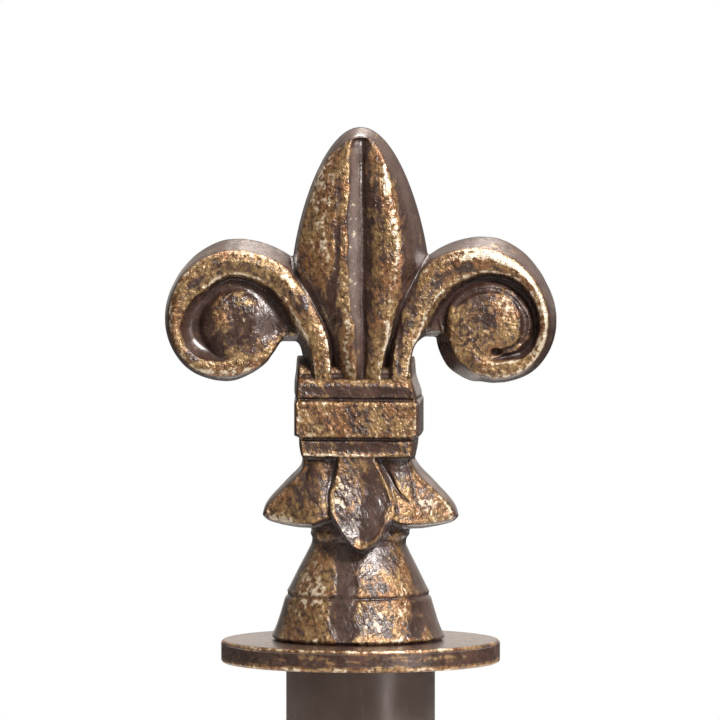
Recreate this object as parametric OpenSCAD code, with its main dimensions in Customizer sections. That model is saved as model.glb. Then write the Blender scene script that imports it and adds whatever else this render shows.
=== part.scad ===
// Fleur-de-lis finial for a railing or fence post.
// A cast flower stands on a round plate and is held by a screw from below.
// The plate closes the top of a sleeve that slips over the end of a round post.
// The origin is the centre of the sleeve's open end, and the flower faces -Y.

/* [Sleeve] */
// Outside diameter of the sleeve
sleeve_d = 38.1; // [35:0.1:42]
// Wall of the sleeve
sleeve_wall = 3; // [2.4:0.1:4]
// Length of the sleeve from its open end to the plate
sleeve_len = 40; // [28:1:60]
// Size of the small bevel at the open end of the sleeve
sleeve_bevel = 0.5; // [0.2:0.1:1]

/* [Plate] */
// Diameter of the round plate
plate_d = 71.4; // [60:0.1:90]
// Thickness of the round plate
plate_t = 5.8; // [5:0.1:8]
// Radius that rounds the two edges of the plate's rim
plate_round = 0.9; // [0.3:0.1:1.5]

/* [Foot of the casting] */
// Diameter of the foot where it stands on the plate
foot_d = 44.8; // [36:0.1:54]
// Diameter of the foot at its turned line
line_d = 37.1; // [32:0.1:44]
// Height of the turned line above the plate
line_h = 11.7; // [9:0.1:14]
// Depth of the turned line
line_depth = 0.4; // [0.2:0.1:0.6]
// Diameter of the neck, the thinnest place
neck_d = 24.2; // [21:0.1:28]
// Height of the neck above the plate
neck_h = 25.2; // [22:0.1:30]
// Diameter of the small bead over the neck
bead_d = 25.2; // [22:0.1:30]
// Thickness of the small bead
bead_t = 2; // [1:0.1:3]
// Radius that rounds the lower edge of the foot
foot_round = 1.4; // [0.5:0.1:2]

/* [Leaves under the collar] */
// Distance from the axis to the tip of a side leaf
side_reach = 25.1; // [21:0.1:30]
// Height of a side leaf's tip above the plate
side_tip_h = 31.4; // [29:0.1:36]
// Distance from the axis to the tip of the front and back leaf
front_reach = 18.2; // [16:0.1:24]
// Height of the front and back leaf's tip above the plate
front_tip_h = 24.3; // [20:0.1:30]
// Width of the front and back leaf at their widest
front_leaf_w = 18; // [15:0.1:21]
// Width of the front and back leaf where it leaves the collar
front_leaf_root_w = 10.2; // [8:0.1:12]
// Thickness of the front and back leaf at the tip
leaf_edge_t = 1.6; // [1:0.1:2.5]
// Depth of the crease along the middle of the front and back leaf
crease = 1.2; // [0.4:0.1:1.6]
// How far a side leaf leans in from the mid-plane to its front and back ridge
leaf_lean = 1.7; // [0.5:0.1:2.5]

/* [Collar] */
// Width of the collar's middle band
band_w = 33.2; // [29:0.1:38]
// Depth of the collar's middle band, front to back
band_depth = 26.8; // [22:0.1:32]
// How far the outer bands stand back from the middle one
band_step = 0.6; // [0.3:0.1:1.2]
// Height of the collar's lower edge above the plate
collar_h = 47.3; // [44:0.1:52]
// Height of the lower band
low_band_h = 4.8; // [3:0.1:7]
// Height of the middle band
mid_band_h = 10; // [7:0.1:13]
// Height of the upper band
top_band_h = 5.4; // [3:0.1:8]
// Height of the sloping shoulder over the upper band
shoulder_h = 4.6; // [2:0.1:6]
// How far the sides lean in from the mid-plane to the front face
collar_draft = 1; // [0.4:0.1:2]

/* [Petal] */
// Height of the petal's tip above the plate
petal_top = 131.6; // [118:0.1:150]
// Width of the petal at its widest
petal_w = 34.8; // [30:0.1:40]
// Height above the plate at which the petal is widest
petal_wide_h = 97; // [92:0.1:102]
// Width of the petal where it leaves the collar
petal_root_w = 15; // [12:0.1:18]
// Depth of the petal at its widest, front to back
petal_depth = 25; // [20:0.1:30]
// Depth of the groove down the middle of the petal
petal_groove = 3.6; // [1.5:0.1:5]
// How far the petal's sides lean in from the mid-plane to the front face
petal_draft = 2.4; // [1:0.1:3]

/* [Scrolls] */
// Distance from the axis to the eye of a scroll
eye_x = 33.4; // [31:0.1:37]
// Height of the eye of a scroll above the plate
eye_h = 82; // [79:0.1:86]
// Radius of the scroll's outer edge at its side
scroll_r = 17; // [15:0.1:19]
// Radius of the scroll's outer edge at its top
scroll_top_r = 21.4; // [19.5:0.1:24]
// Depth of a scroll, front to back
scroll_depth = 20; // [16:0.1:24]
// Width of the curled band at the side of the scroll
curl_w = 4.7; // [3.5:0.1:6]
// Width of the curled band at the top of the scroll
curl_top_w = 10.4; // [8:0.1:12]
// Width of the stem where it leaves the collar
stem_w = 6.6; // [5:0.1:8]
// Radius of the domed boss in the eye, on the mid-plane
boss_r = 11; // [9.5:0.1:11.5]
// How far the top of the boss stands back from the front of the band
boss_drop = 0.5; // [0.2:0.1:2]
// Thickness of the web behind the groove of the scroll
web_t = 9; // [6:0.1:12]

/* [Plate screw] */
// Thread diameter of the countersunk screw
screw_d = 8; // [6:0.5:10]
// Head diameter of the countersunk screw
screw_head_d = 16; // [13:0.5:18]
// Whole length of the countersunk screw
screw_len = 22; // [18:1:24]
// Width across the flats of its hexagon socket
screw_socket = 5; // [4:0.5:6]
// Depth of its hexagon socket
screw_socket_depth = 2.5; // [1.5:0.1:3]

/* [Set screw] */
// Thread diameter of the set screw at the back of the sleeve
set_d = 6; // [4:0.5:8]
// Length of the set screw
set_len = 5; // [3:0.5:8]
// Height of the set screw above the open end of the sleeve
set_h = 14; // [8:0.5:20]
// Width across the flats of its hexagon socket
set_socket = 3; // [2:0.5:4]
// Depth of its hexagon socket
set_socket_depth = 2.4; // [1.5:0.1:4]

/* [Clearances] */
// Radial clearance round each screw in its hole
thread_gap = 0.15; // [0.1:0.05:0.3]
// Distance from the set screw's point to the inside of the sleeve
point_gap = 0.1; // [0.05:0.05:0.5]

/* [Hidden] */

// Colours of the rubbed casting, the plain sleeve and the hidden screws
CAST_COLOUR = "#7a5c40";
PLATE_COLOUR = "#6d5038";
SLEEVE_COLOUR = "#57473f";
SCREW_COLOUR = "#8c8c8c";

// Sides of a turned face, on the plain pieces and on the casting
FINE = 96;
MESH = 40;
// How far a cut runs past a face, and a block into its neighbour
OVER = 1;

plate_z = sleeve_len;
cast_z = plate_z + plate_t;
sleeve_r = sleeve_d / 2;
bore_r = sleeve_r - sleeve_wall;
hole_r = screw_d / 2 + thread_gap;
head_h = (screw_head_d - screw_d) / 2;
tapped_depth = screw_len - plate_t + OVER;
collar_top = collar_h + low_band_h + mid_band_h + top_band_h;

// Rings of the lofted petal, which lie closer together near the tip
PETAL_RINGS = 22;
// Power of the petal's arch: 1 gives a pointed parabola and 2 a round ellipse
PETAL_ROUND = 1.33;
// Distance below the tip over which the groove fades away
TIP_FADE = 9;
// Points of a ring as shares of its half width, and their depths as shares of the petal's depth
LOBE_U = [0.88, 0.74, 0.58, 0.42, 0.28, 0.14];
LOBE_D = [0.80, 0.90, 0.97, 1.00, 0.97, 0.84];
EDGE_D = 0.62;

// The curled band's course round the eye, by angle: 0 points outwards and 90 up
CURL_FROM = 131;
CURL_TO = -165;
STEM_STEPS = 9;
CURL_STEPS = 26;
// Points of the band's section, and the power that makes it a rounded box
SECTION_SIDES = 14;
SECTION_POWER = 0.62;
// How far the stem's curve is pulled straight up at the collar and back along the curl at its top
STEM_PULL_UP = 16;
STEM_PULL_IN = 7;

// Panels of a leaf
LEAF_ACROSS = 8;
LEAF_ALONG = 8;

// Curves

// Linear steps from a to b in n parts
function steps(a, b, n) = [for (i = [0:n]) a + (b - a) * i / n];

// Height or width on the parabola through three points
function parabola(x, p, q, r) =
    p[1] * (x - q[0]) * (x - r[0]) / ((p[0] - q[0]) * (p[0] - r[0]))
    + q[1] * (x - p[0]) * (x - r[0]) / ((q[0] - p[0]) * (q[0] - r[0]))
    + r[1] * (x - p[0]) * (x - q[0]) / ((r[0] - p[0]) * (r[0] - q[0]));

// Smooth rise from 0 to 1 as x goes from a to b
function ease(x, a, b) =
    let (t = max(0, min(1, (x - a) / (b - a)))) t * t * (3 - 2 * t);

// Cubic curve through a and d that leaves towards b and arrives from c
function bezier(t, a, b, c, d) =
    pow(1 - t, 3) * a + 3 * t * pow(1 - t, 2) * b + 3 * t * t * (1 - t) * c + pow(t, 3) * d;

// Power that keeps the sign, for rounded sections
function signed_pow(x, p) = sign(x) * pow(abs(x), p);

// A closed skin over a list of rings that all have the same number of points.
// A ring runs clockwise for someone who looks back along the path from its end.
module loft(rings) {
    n = len(rings[0]);
    last = len(rings) - 1;
    polyhedron(
        points = [for (ring = rings) each ring],
        faces = concat(
            [[for (i = [n - 1:-1:0]) i]],
            [[for (i = [0:n - 1]) last * n + i]],
            [for (k = [0:last - 1], i = [0:n - 1])
                let (j = (i + 1) % n)
                each [[k * n + i, k * n + j, (k + 1) * n + j],
                      [k * n + i, (k + 1) * n + j, (k + 1) * n + i]]]
        )
    );
}

// A block whose sides are widest on the mid-plane and lean in to the front and back face
module drafted_block(low_w, high_w, depth, draft, h) {
    flat = 0.2;
    hull()
        for (side = [-1, 1], level = [0, 1]) {
            w = level == 0 ? low_w : high_w;
            translate([-w / 2, -flat, level * (h - flat)])
                cube([w, 2 * flat, flat]);
            translate([-w / 2 + draft, side * (depth / 2 - flat / 2) - flat / 2, level * (h - flat)])
                cube([w - 2 * draft, flat, flat]);
        }
}

// The foot: a bell-shaped solid of revolution with a turned line and a bead over the neck

function foot_r(z) = parabola(z, [0, foot_d / 2], [line_h, line_d / 2], [neck_h, neck_d / 2]);

module foot() {
    bead_r = bead_t / 2;
    rotate_extrude($fn = MESH)
        polygon(concat(
            [[0, 0], [foot_r(0) - foot_round, 0]],
            [for (a = [-60, -30, 0])
                [foot_r(foot_round) - foot_round * (1 - cos(a)), foot_round * (1 + sin(a))]],
            [for (z = steps(4, line_h - 2 * line_depth, 2)) [foot_r(z), z]],
            [[foot_r(line_h) - line_depth, line_h]],
            [for (z = steps(line_h + 2 * line_depth, neck_h, 5)) [foot_r(z), z]],
            [for (a = [-60:30:60])
                [bead_d / 2 - bead_r + bead_r * cos(a), neck_h + bead_t / 2 + 0.4 + bead_r * sin(a)]],
            [[neck_d / 2, neck_h + bead_t + 2], [0, neck_h + bead_t + 2]]
        ));
}

// The solid heart that the leaves grow from, between the neck and the collar
module leaf_heart() {
    hull() {
        translate([0, 0, neck_h + bead_t]) cylinder(r = neck_d / 2, h = 0.5, $fn = 32);
        translate([0, 0, side_tip_h]) cylinder(r = neck_d / 2 + 0.6, h = 0.5, $fn = 32);
        translate([0, 0, collar_h]) drafted_block(band_w - 5, band_w - 5, band_depth - 6, 2, 0.4);
    }
}

// One ring of a side leaf: down one face from the crest to the lower edge, and up the other.
// The crest and the edge are [distance from the axis, height], and t runs from root to tip.
// A ring with a shift is moved towards the axis and narrowed, to start inside the heart.
function wing_ring(t, shift) =
    let (
        crest = bezier(t, [band_w / 2 - 1.8, collar_h + 0.3], [band_w / 2 - 1.4, collar_h - 4.6],
                       [side_reach - 2.6, side_tip_h + 6.4], [side_reach, side_tip_h + 0.4]),
        edge = bezier(t, [neck_d / 2 - 4.4, side_tip_h + 2.6], [neck_d / 2 + 1, side_tip_h - 1.7],
                      [side_reach - 4, side_tip_h - 1.9], [side_reach, side_tip_h - 0.4]),
        lean = leaf_lean * (1 - 0.7 * t),
        ridge = crest - [0.7, 0.7] * lean,
        ridge_y = (band_depth / 2 - 1.8) * (1 - 0.95 * pow(t, 1.7)),
        edge_y = (band_depth / 2 - 0.4) * (1 - 0.94 * t * t),
        half = concat(
            [[crest[0], 0, crest[1]]],
            [[(crest[0] + ridge[0]) / 2, ridge_y / 2, (crest[1] + ridge[1]) / 2 + 0.1]],
            [for (k = [0, 0.3, 0.65, 1])
                let (q = ridge + k * (edge - ridge))
                [q[0], ridge_y + k * (edge_y - ridge_y) + 0.5 * sin(180 * k), q[1]]],
            [[edge[0] - 1.4, edge_y * 0.6, edge[1] + 0.7]]
        ),
        narrow = shift == 0 ? 1 : 0.7,
        n = len(half)
    )
    concat(
        [for (q = half) [q[0] - shift, q[1] * narrow, q[2]]],
        [for (i = [n - 1:-1:1]) [half[i][0] - shift, -half[i][1] * narrow, half[i][2]]]
    );

module side_leaf() {
    loft(concat([wing_ring(0, 9)], [for (t = steps(0, 1, LEAF_ALONG)) wing_ring(t, 0)]));
}

// A leaf at the front: it hangs from the collar, widens and curls outwards to its tip,
// and its two halves meet in a crease. It is built facing +X.
module front_leaf() {
    root = [band_depth / 2 - 1.1, collar_h + 0.3];
    tip = [front_reach, front_tip_h];
    root_half = front_leaf_root_w / 2;
    wide_half = front_leaf_w / 2;
    widths = [[0, root_half], [0.17, root_half + 0.8], [0.32, wide_half - 1.6], [0.45, wide_half - 0.3],
              [0.6, wide_half], [0.72, wide_half - 1.6], [0.87, 4.2], [0.96, 1.9], [1, 0.6]];
    loft([for (t = steps(0, 1, LEAF_ALONG))
        let (
            p = bezier(t, root, root + [1.2, -9], tip + [-1.8, 9], tip),
            half = lookup(t, widths),
            back = lookup(t, [[0, 5], [0.6, 4], [1, leaf_edge_t]]),
            cup = crease * min(1, 3 * t) * (1 - 0.5 * t),
            outer = [for (u = steps(-1, 1, LEAF_ACROSS))
                [p[0] + cup * (abs(u) - 1), u * half, p[1] + 0.6 * u * u * (1 - t)]],
            inner = [for (q = outer) [q[0] - back, q[1] * 0.94, q[2] + back * 0.15]]
        )
        concat(outer, [for (i = [len(inner) - 1:-1:0]) inner[i]])]);
}

module leaves() {
    for (side = [0, 180])
        rotate([0, 0, side]) side_leaf();
    for (side = [90, 270])
        rotate([0, 0, side]) front_leaf();
}

// The collar: three bands, the middle one proud, under a shoulder that slopes up to the mid-plane.
// The outer bands run a little way into the middle one.
module collar() {
    outer_w = band_w - 2 * band_step;
    outer_depth = band_depth - 2 * band_step;
    translate([0, 0, collar_h])
        drafted_block(outer_w - 1.6, outer_w, outer_depth, collar_draft, low_band_h + OVER);
    translate([0, 0, collar_h + low_band_h])
        drafted_block(band_w, band_w, band_depth, collar_draft, mid_band_h);
    translate([0, 0, collar_top - top_band_h - OVER])
        drafted_block(outer_w, outer_w - 1.6, outer_depth, collar_draft + 0.6, top_band_h + OVER);
    hull() {
        translate([0, 0, collar_top - 0.5])
            drafted_block(outer_w - 1.8, outer_w - 1.8, outer_depth - 0.8, collar_draft + 0.6, 0.4);
        translate([0, 0, collar_top + shoulder_h - 0.5])
            drafted_block(outer_w - 4.6, outer_w - 4.6, 5, 1, 0.4);
    }
}

// The petal: rings of two rounded lobes with a groove between them, alike front and back

function petal_rise(z) = (z - petal_wide_h) / (petal_top - petal_wide_h);
function petal_share(z) = sqrt(max(0, 1 - pow(max(0, petal_rise(z)), PETAL_ROUND)));
function petal_half(z) =
    z >= petal_wide_h ? petal_w / 2 * petal_share(z)
    : petal_root_w / 2 + (petal_w - petal_root_w) / 2 * ease(z, collar_top - 6, petal_wide_h + 6);
function petal_deep(z) = petal_depth / 2 * pow(petal_share(z), 0.9);

function petal_ring(z) =
    let (
        half = petal_half(z),
        deep = petal_deep(z),
        draft = petal_draft * min(1, half / 8),
        flat = half - draft,
        groove = petal_groove * ease(petal_top - z, TIP_FADE / 3, TIP_FADE * 1.5),
        quarter = concat(
            [[half, 0.03 * deep], [flat, EDGE_D * deep]],
            [for (i = [0:len(LOBE_U) - 1])
                [flat * LOBE_U[i], deep * (1 - (1 - LOBE_D[i]) * (i < 4 ? 1 : groove / 4))]],
            [[0, deep - groove]]
        ),
        n = len(quarter)
    )
    concat(
        [for (i = [0:n - 1]) [quarter[i][0], quarter[i][1], z]],
        [for (i = [n - 2:-1:0]) [-quarter[i][0], quarter[i][1], z]],
        [for (i = [0:n - 1]) [-quarter[i][0], -quarter[i][1], z]],
        [for (i = [n - 2:-1:0]) [quarter[i][0], -quarter[i][1], z]]
    );

module petal() {
    root = collar_top - 6;
    loft([for (i = [PETAL_RINGS:-1:0])
        let (s = sin(90 * pow(i / PETAL_RINGS, 0.8)))
        petal_ring(root + (petal_top - 0.15 - root) * s)]);
}

// The scrolls: a band rises from the collar, curls outwards round the eye and ends in a domed boss

// Width of the curled band, by angle round the eye
function curl_width(a) = lookup(a, [
    [CURL_TO, 12], [-140, 9], [-95, 5.4], [-45, curl_w], [0, curl_w], [50, 6.6],
    [90, curl_top_w], [CURL_FROM, curl_top_w + 0.8]]);

// Outer radius of the curled band, by angle round the eye
function curl_outer(a) = lookup(a, [
    [CURL_TO, scroll_r - 1.6], [-135, scroll_r - 1.8], [-90, scroll_r - 0.8], [-45, scroll_r],
    [0, scroll_r], [30, scroll_r + 0.3], [50, scroll_r + 1.3], [70, (scroll_r + scroll_top_r) / 2 + 0.7],
    [90, scroll_top_r], [110, scroll_top_r + 0.7], [CURL_FROM, scroll_top_r + 1.5]]);

// Depth of the curled band from the mid-plane: it sinks into the boss at its end
function curl_deep(a) =
    web_t / 2 + 0.2 + (scroll_depth / 2 - web_t / 2 - 0.2) * ease(a, CURL_TO, -110);

// Middle of the curled band, by angle round the eye
function curl_point(a) =
    (curl_outer(a) - curl_width(a) / 2) * [cos(a), sin(a)] + [eye_x, eye_h];

// One ring of the band: a rounded section across the direction dir at the point p
function band_ring(p, dir, w, deep) =
    [for (i = [0:SECTION_SIDES - 1])
        let (
            a = 360 * i / SECTION_SIDES,
            across = w / 2 * signed_pow(cos(a), SECTION_POWER),
            out = deep * signed_pow(sin(a), SECTION_POWER)
        )
        [p[0] + dir[0] * across, out, p[1] + dir[1] * across]];

module curled_band() {
    deep = scroll_depth / 2;
    start = [stem_w + 3, collar_top - 4];
    join = curl_point(CURL_FROM);
    heading = [sin(CURL_FROM), -cos(CURL_FROM)];
    lift = [1.4, STEM_PULL_UP];
    stem = [for (i = [0:STEM_STEPS - 1])
        let (
            t = i / STEM_STEPS,
            p = bezier(t, start, start + lift, join - STEM_PULL_IN * heading, join),
            q = bezier(t + 0.01, start, start + lift, join - STEM_PULL_IN * heading, join),
            along = (q - p) / norm(q - p),
            w = lookup(t, [[0, stem_w], [0.25, stem_w], [0.5, 8.4], [1, curl_width(CURL_FROM)]])
        )
        band_ring(p, [-along[1], along[0]], w, deep + 1.4 * (1 - t))];
    curl = [for (a = steps(CURL_FROM, CURL_TO, CURL_STEPS))
        band_ring(curl_point(a), [cos(a), sin(a)], curl_width(a), curl_deep(a))];
    loft(concat(stem, curl));
}

module scroll() {
    curled_band();
    // Domed boss in the eye
    translate([eye_x, 0, eye_h])
        rotate([90, 0, 0])
            scale([1, 1, (scroll_depth / 2 - boss_drop) / boss_r]) sphere(r = boss_r, $fn = 24);
    // Web behind the groove, from the stem to the outer curl
    web_r = scroll_r - curl_w / 2 - 1.4;
    hull() {
        translate([eye_x, 0, eye_h])
            rotate([90, 0, 0]) cylinder(r = web_r, h = web_t, center = true, $fn = 32);
        translate([eye_x / 2, 0, eye_h + 2])
            rotate([90, 0, 0]) cylinder(r = 3, h = web_t, center = true, $fn = 16);
    }
}

// Nodes

module fleur_casting() {
    color(CAST_COLOUR)
        translate([0, 0, cast_z])
            difference() {
                union() {
                    foot();
                    leaf_heart();
                    leaves();
                    collar();
                    petal();
                    scroll();
                    mirror([1, 0, 0]) scroll();
                }
                translate([0, 0, -OVER]) cylinder(r = hole_r, h = tapped_depth + OVER, $fn = 32);
            }
}

module round_plate() {
    rim_r = plate_d / 2 - plate_round;
    sink_r = screw_head_d / 2 + thread_gap;
    color(PLATE_COLOUR)
        translate([0, 0, plate_z])
            difference() {
                rotate_extrude($fn = FINE)
                    polygon(concat(
                        [[0, 0]],
                        [for (a = [-90:15:0])
                            [rim_r + plate_round * cos(a), plate_round * (1 + sin(a))]],
                        [for (a = [0:15:90])
                            [rim_r + plate_round * cos(a), plate_t - plate_round * (1 - sin(a))]],
                        [[0, plate_t]]
                    ));
                translate([0, 0, -OVER]) cylinder(r = hole_r, h = plate_t + 2 * OVER, $fn = FINE);
                translate([0, 0, -OVER])
                    cylinder(r1 = sink_r + OVER, r2 = hole_r, h = head_h + OVER, $fn = FINE);
            }
}

module post_sleeve() {
    color(SLEEVE_COLOUR)
        difference() {
            rotate_extrude($fn = FINE)
                polygon([
                    [bore_r, 0],
                    [sleeve_r - sleeve_bevel, 0],
                    [sleeve_r, sleeve_bevel],
                    [sleeve_r, sleeve_len],
                    [bore_r, sleeve_len]
                ]);
            translate([0, 0, set_h])
                rotate([-90, 0, 0]) cylinder(r = set_d / 2 + thread_gap, h = sleeve_d, $fn = FINE);
        }
}

module plate_screw() {
    color(SCREW_COLOUR)
        translate([0, 0, plate_z])
            difference() {
                union() {
                    cylinder(r1 = screw_head_d / 2, r2 = screw_d / 2, h = head_h, $fn = FINE);
                    cylinder(r = screw_d / 2, h = screw_len, $fn = FINE);
                }
                translate([0, 0, -OVER])
                    cylinder(d = screw_socket / cos(30), h = screw_socket_depth + OVER, $fn = 6);
            }
}

module set_screw() {
    point_y = bore_r + point_gap;
    color(SCREW_COLOUR)
        translate([0, point_y, set_h])
            rotate([-90, 0, 0])
                difference() {
                    cylinder(r = set_d / 2, h = set_len, $fn = FINE);
                    translate([0, 0, set_len - set_socket_depth])
                        cylinder(d = set_socket / cos(30), h = set_socket_depth + OVER, $fn = 6);
                }
}

fleur_casting();
round_plate();
post_sleeve();
plate_screw();
set_screw();
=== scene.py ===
"""Looks of the fleur-de-lis finial: a rubbed bronze casting on a round plate and a dark sleeve.

The flower is a two-part casting, so each half is a height over the mid-plane: every function below
takes x and z in millimetres, z counted from the top of the plate, and gives the height of the front
surface over the mid-plane, which is negative outside the outline. The back half is its mirror.
"""

import math

import bpy
import numpy as np
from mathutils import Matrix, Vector


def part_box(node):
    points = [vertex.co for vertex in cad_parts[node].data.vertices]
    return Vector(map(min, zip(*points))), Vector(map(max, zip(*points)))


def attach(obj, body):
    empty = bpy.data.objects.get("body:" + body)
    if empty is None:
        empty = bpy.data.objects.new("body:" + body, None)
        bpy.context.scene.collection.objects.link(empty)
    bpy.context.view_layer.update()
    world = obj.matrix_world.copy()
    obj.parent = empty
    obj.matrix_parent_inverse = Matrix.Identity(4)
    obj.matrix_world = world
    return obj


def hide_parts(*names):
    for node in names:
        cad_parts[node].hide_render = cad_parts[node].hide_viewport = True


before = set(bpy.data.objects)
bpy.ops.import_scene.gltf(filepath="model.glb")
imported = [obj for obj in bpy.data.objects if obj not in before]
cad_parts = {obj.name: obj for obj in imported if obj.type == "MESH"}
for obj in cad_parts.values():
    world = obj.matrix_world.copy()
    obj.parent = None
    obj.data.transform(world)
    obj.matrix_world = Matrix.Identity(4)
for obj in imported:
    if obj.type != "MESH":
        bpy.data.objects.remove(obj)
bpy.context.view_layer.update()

MM = 0.001
PLATE_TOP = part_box("round_plate")[1][2]


# Curves and blends

def smooth_table(x, knots):
    """Smooth curve through the knots that never swings past them: a cubic between each two, whose slope at
    a knot is the harmonic mean of the slopes on its two sides, or 0 at a turning point."""
    kx, ky = np.array(knots, float).T
    rate = np.diff(ky) / np.diff(kx)
    product = rate[:-1] * rate[1:]
    inner = np.where(product > 0, 2 * product / np.where(product > 0, rate[:-1] + rate[1:], 1), 0)
    slope = np.concatenate([rate[:1], inner, rate[-1:]])
    i = np.clip(np.searchsorted(kx, x) - 1, 0, len(kx) - 2)
    step = kx[i + 1] - kx[i]
    t = np.clip((x - kx[i]) / step, 0, 1)
    a = ky[i] * (1 + 2 * t) * (1 - t) ** 2 + ky[i + 1] * t * t * (3 - 2 * t)
    return a + step * (slope[i] * t * (1 - t) ** 2 + slope[i + 1] * t * t * (t - 1))


def ease(x, low, high):
    """Smooth rise from 0 at low to 1 at high."""
    t = np.clip((x - low) / (high - low), 0, 1)
    return t * t * (3 - 2 * t)


def soft_max(a, b, fillet):
    """The larger of two heights, with a fillet where they are nearly the same."""
    near = np.clip(1 - np.abs(a - b) / fillet, 0, None)
    return np.maximum(a, b) + fillet * near * near / 4


def soft_min(a, b, fillet):
    """The smaller of two heights, with a rounded edge where they are nearly the same."""
    return -soft_max(-a, -b, fillet)


def bump(x, middle, width):
    """A rounded rib of height 1 round the middle."""
    return np.exp(-(((x - middle) / width) ** 2))


# Petal

PETAL_TOP = 131.45
PETAL_WIDE_Z = 97.0
PETAL_HALF = 17.4
PETAL_DEEP = 12.5
FLANK_SLOPE = 3.3


def petal_arch(x):
    """Height of the arched edge that ends the groove under the petal's tip."""
    return PETAL_TOP - 2.1 - 0.07 * (x - 1.2) ** 2


def petal_height(x, z):
    """Two lobes with a sharp groove between them. The outline is an arch over the widest place and narrows
    below it; a plain sloping flank runs all round, and the lobes start at its edge. Under the tip the groove
    ends at a small arch, and there the lobes stand back a millimetre."""
    rise = np.clip((z - PETAL_WIDE_Z) / (PETAL_TOP - PETAL_WIDE_Z), 0, None)
    half = smooth_table(z, [(58, 7.3), (66, 7.6), (74, 8.9), (82, 12.1), (90, 15.8), (97, PETAL_HALF),
                            (110, PETAL_HALF), (140, PETAL_HALF)])
    arch = 1 - rise ** 1.33 - (x / half) ** 2
    step_x, step_z = x[0, 1] - x[0, 0], z[1, 0] - z[0, 0]
    dz, dx = np.gradient(arch, step_z, step_x)
    inside = arch / np.maximum(np.hypot(dx, dz), 0.02)
    share = np.sqrt(np.clip(1 - rise ** 1.6, 0, 1))
    deep = 3.2 + (PETAL_DEEP - 3.2) * share ** 0.9
    deep = deep - 1.2 * ease(-z, -82, -64)
    flat = np.maximum(half * np.sqrt(np.clip(1 - rise ** 1.33, 0, 1)) - 2.4, 0.5)
    groove_x = smooth_table(z, [(62, 0.5), (76, 0.5), (86, 1.2), (95, 1.5), (104, 1.5), (118, 1.0), (131, 0.8)])
    ridge_x = groove_x - smooth_table(z, [(64, 1.9), (74, 2.3), (85, 3.0), (97, 4.0), (104, 4.2), (120, 2.9),
                                          (127, 2.3), (131, 2.0)])
    crest_x = smooth_table(z, [(64, 4.6), (72, 5.6), (81, 7.0), (87, 8.0), (96, 9.7), (102, 9.9), (110, 8.9),
                               (117, 7.6), (126, 5.6), (131, 4.0)])
    below_arch = petal_arch(x) - z
    fade = 0.35 * ease(below_arch, 0, 1.1) + 0.65 * ease(below_arch, 0, 9)
    groove = 2.7 * (0.75 + 0.25 * ease(z, 70, 95)) * fade
    left = np.clip((ridge_x - x) / np.maximum(flat + ridge_x, 1), 0, 1.2)
    right = np.clip((x - crest_x) / np.maximum(flat - crest_x, 2), 0, 1.02)
    lobes = deep - 0.30 * deep * left ** 2.1 - 0.36 * deep * right ** 1.9
    left_wall = np.clip((x - ridge_x) / (groove_x - ridge_x), 0, 1)
    right_wall = np.clip((crest_x - x) / (crest_x - groove_x), 0, 1)
    in_groove = np.where(x < groove_x, left_wall ** 1.2, right_wall ** 2.6)
    lobes = lobes - groove * in_groove * ((x > ridge_x) & (x < crest_x))
    recess = ease(below_arch, 0, 0.7) * ease(z, 116, 127)
    recess = recess * ease(x - ridge_x, -0.8, 0.4) * ease(crest_x - x, -0.8, 0.6)
    lobes = lobes - recess
    return soft_min((FLANK_SLOPE + 1.7 * ease(-x, 1, 9)) * inside, lobes, 1.0)


# Scrolls, with x counted outwards from the axis

EYE_X, EYE_Z = 33.4, 82.0
OUTLINE = [(-170, 15.4), (-135, 15.1), (-110, 15.3), (-90, 15.9), (-70, 16.3), (-45, 16.9), (0, 16.9), (30, 17.2),
           (50, 18.2), (70, 19.9), (90, 21.4), (110, 22.1), (131, 22.9)]
CURL_WIDTH = [(-165, 9), (-140, 8), (-95, 6), (-45, 5), (0, 4.7), (50, 6.6), (90, 10.4), (131, 11.2)]
STEM = [(10.9, 60.0), (10.9, 66.5), (11.2, 70.3), (11.8, 75.0), (13.3, 80.3), (15.4, 86.6), (18.4, 91.5)]


def scroll_course():
    """Middle line of the band, from the collar up the stem and round the eye, with its station: -7 to -1
    up the stem, and from 0 on a station for each 30 degrees round the eye."""
    angle = np.arange(131, -166, -8.0)
    reach = smooth_table(angle, OUTLINE) - smooth_table(angle, CURL_WIDTH) / 2
    turn = np.radians(angle)
    curl = np.stack([EYE_X + reach * np.cos(turn), EYE_Z + reach * np.sin(turn)], axis=1)
    knots = np.concatenate([np.array(STEM), curl])
    station = np.concatenate([np.arange(-7, 0), (131 - angle) / 30])
    along = np.concatenate([[0], np.cumsum(np.hypot(*np.diff(knots, axis=0).T))])
    fine = np.linspace(0, along[-1], 360)
    path = [smooth_table(fine, np.stack([along, v], axis=1)) for v in (knots[:, 0], knots[:, 1], station)]
    return np.stack(path, axis=1)


def along_band(x, z):
    """Station of the nearest place on the band's middle line, and the distance to its left."""
    course = scroll_course()
    tangent = np.gradient(course[:, :2], axis=0)
    tangent /= np.hypot(*tangent.T)[:, None]
    points = np.stack([x.ravel(), z.ravel()], axis=1)
    nearest = np.concatenate([
        np.argmin(((part[:, None, :] - course[None, :, :2]) ** 2).sum(axis=2), axis=1)
        for part in np.array_split(points, max(1, len(points) // 4000))])
    away = points - course[nearest, :2]
    t = tangent[nearest]
    rate = np.gradient(course[:, 2]) / np.hypot(*np.gradient(course[:, :2], axis=0).T)
    station = course[nearest, 2] + rate[nearest] * (away * t).sum(axis=1)
    left = t[:, 0] * away[:, 1] - t[:, 1] * away[:, 0]
    return station.reshape(x.shape), left.reshape(x.shape)


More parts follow.
